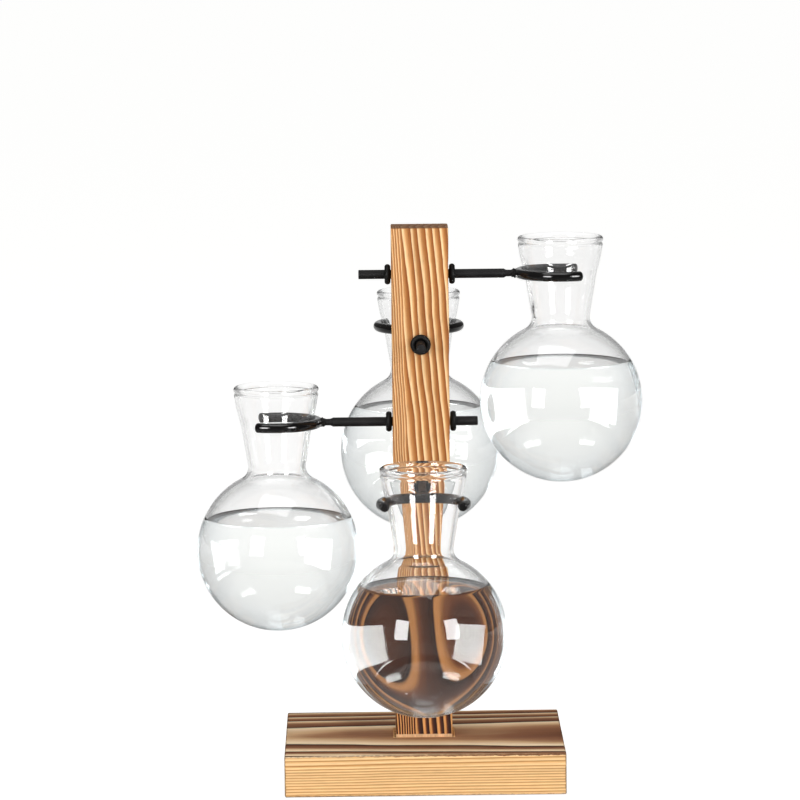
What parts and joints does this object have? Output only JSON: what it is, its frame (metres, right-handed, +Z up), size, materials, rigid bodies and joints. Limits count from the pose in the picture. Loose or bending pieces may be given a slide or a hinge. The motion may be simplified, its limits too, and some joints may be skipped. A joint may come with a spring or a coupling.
{
  "type": "propagation station",
  "caption": "Wooden stand with a spiral of black metal arms that hold clear glass bulb vases of water for rooting plant cuttings.",
  "frame": {"origin": "middle of the base's underside, on the post's axis", "axes": "+Z up, +X towards the highest arm, -Y towards the front, which carries the lowest arm"},
  "size_m": [0.2036, 0.2046, 0.253],
  "materials": {
    "base_wood": "matte scorched grain",
    "post_wood": "matte brushed grain",
    "screw_steel": "zinc",
    "black_metal": "satin black",
    "rubber": "matte black",
    "clear_glass": "clear gloss",
    "water": "clear"
  },
  "bodies": {
    "stand": {"base": "base_wood", "post": "post_wood", "post_screw_left": "screw_steel", "post_screw_right": "screw_steel"},
    "right_grommets": {"right_outer_grommet": "rubber", "right_inner_grommet": "rubber"},
    "right_arm": {"right_arm_rod": "black_metal", "right_holder_ring": "black_metal"},
    "right_bulb": {"right_vase": "clear_glass"},
    "right_fill": {"right_water": "water"},
    "rear_grommets": {"rear_outer_grommet": "rubber", "rear_inner_grommet": "rubber"},
    "rear_arm": {"rear_arm_rod": "black_metal", "rear_holder_ring": "black_metal"},
    "rear_bulb": {"rear_vase": "clear_glass"},
    "rear_fill": {"rear_water": "water"},
    "left_grommets": {"left_outer_grommet": "rubber", "left_inner_grommet": "rubber"},
    "left_arm": {"left_arm_rod": "black_metal", "left_holder_ring": "black_metal"},
    "left_bulb": {"left_vase": "clear_glass"},
    "left_fill": {"left_water": "water"},
    "front_grommets": {"front_outer_grommet": "rubber", "front_inner_grommet": "rubber"},
    "front_arm": {"front_arm_rod": "black_metal", "front_holder_ring": "black_metal"},
    "front_bulb": {"front_vase": "clear_glass"},
    "front_fill": {"front_water": "water"}
  },
  "joints": [
    {"name": "right_roll", "type": "hinge", "parent": "stand", "child": "right_grommets", "pos_m": [0, 0, 0.231], "axis": [1, 0, 0], "range_deg": [-10, 10]},
    {"name": "right_slide", "type": "slide", "parent": "right_grommets", "child": "right_arm", "axis": [1, 0, 0], "range_m": [0, 0.01]},
    {"name": "right_lift", "type": "slide", "parent": "right_arm", "child": "right_bulb", "axis": [0, 0, 1], "range_m": [0, 0.02]},
    {"name": "right_level", "type": "hinge", "parent": "right_bulb", "child": "right_fill", "pos_m": [0.064, 0, 0.1722], "axis": [1, 0, 0], "range_deg": [-10, 10]},
    {"name": "rear_roll", "type": "hinge", "parent": "stand", "child": "rear_grommets", "pos_m": [0, 0, 0.2], "axis": [0, 1, 0], "range_deg": [-10, 10]},
    {"name": "rear_slide", "type": "slide", "parent": "rear_grommets", "child": "rear_arm", "axis": [0, 1, 0], "range_m": [0, 0.01]},
    {"name": "rear_lift", "type": "slide", "parent": "rear_arm", "child": "rear_bulb", "axis": [0, 0, 1], "range_m": [0, 0.02]},
    {"name": "rear_level", "type": "hinge", "parent": "rear_bulb", "child": "rear_fill", "pos_m": [0, 0.064, 0.1412], "axis": [0, 1, 0], "range_deg": [-10, 10]},
    {"name": "left_roll", "type": "hinge", "parent": "stand", "child": "left_grommets", "pos_m": [0, 0, 0.1635], "axis": [-1, 0, 0], "range_deg": [-10, 10]},
    {"name": "left_slide", "type": "slide", "parent": "left_grommets", "child": "left_arm", "axis": [-1, 0, 0], "range_m": [0, 0.01]},
    {"name": "left_lift", "type": "slide", "parent": "left_arm", "child": "left_bulb", "axis": [0, 0, 1], "range_m": [0, 0.02]},
    {"name": "left_level", "type": "hinge", "parent": "left_bulb", "child": "left_fill", "pos_m": [-0.066, 0, 0.1047], "axis": [-1, 0, 0], "range_deg": [-10, 10]},
    {"name": "front_roll", "type": "hinge", "parent": "stand", "child": "front_grommets", "pos_m": [0, 0, 0.1355], "axis": [0, -1, 0], "range_deg": [-10, 10]},
    {"name": "front_slide", "type": "slide", "parent": "front_grommets", "child": "front_arm", "axis": [0, -1, 0], "range_m": [0, 0.01]},
    {"name": "front_lift", "type": "slide", "parent": "front_arm", "child": "front_bulb", "axis": [0, 0, 1], "range_m": [0, 0.02]},
    {"name": "front_level", "type": "hinge", "parent": "front_bulb", "child": "front_fill", "pos_m": [0, -0.067, 0.0767], "axis": [0, -1, 0], "range_deg": [-10, 10]}
  ],
  "couplings": [
    {"joint": "right_level", "follows": "right_roll", "ratio": -1},
    {"joint": "rear_level", "follows": "rear_roll", "ratio": -1},
    {"joint": "left_level", "follows": "left_roll", "ratio": -1},
    {"joint": "front_level", "follows": "front_roll", "ratio": -1}
  ]
}
